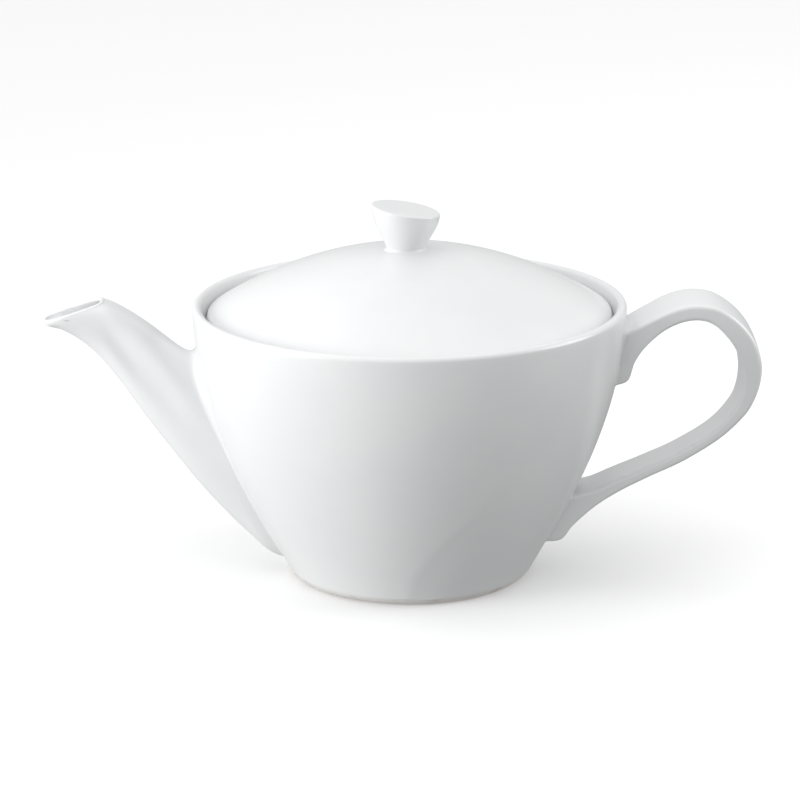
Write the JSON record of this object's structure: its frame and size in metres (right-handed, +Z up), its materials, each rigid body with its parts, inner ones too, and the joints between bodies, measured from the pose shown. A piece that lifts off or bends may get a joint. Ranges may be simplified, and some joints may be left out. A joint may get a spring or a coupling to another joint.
{
  "type": "teapot",
  "caption": "Low round porcelain teapot with a short open spout, a ribbon loop handle and a loose domed lid with a slanted knob.",
  "frame": {"origin": "middle of the footprint on the table, under the pot; the pot's own axis stands 2.5 mm from it towards +X", "axes": "+X from the spout to the handle, +Y to the far side, +Z up"},
  "size_m": [0.2647, 0.16, 0.1404],
  "materials": {
    "glazed_porcelain": "clear gloss glaze over white porcelain",
    "bare_porcelain": "unglazed, fine matt"
  },
  "bodies": {
    "pot": {"pot_body": "glazed_porcelain", "foot_ring": "bare_porcelain", "spout": "glazed_porcelain", "handle": "glazed_porcelain"},
    "lid_ring": {"lid_flange": "glazed_porcelain"},
    "lid": {"lid": "glazed_porcelain", "lid_knob": "glazed_porcelain"}
  },
  "joints": [
    {"name": "lid_lift", "type": "slide", "parent": "pot", "child": "lid_ring", "axis": [0, 0, 1], "range_m": [0, 0.08]},
    {"name": "lid_turn", "type": "hinge", "parent": "lid_ring", "child": "lid", "pos_m": [0.0025, 0, 0.0976], "axis": [0, 0, 1], "continuous": true}
  ]
}
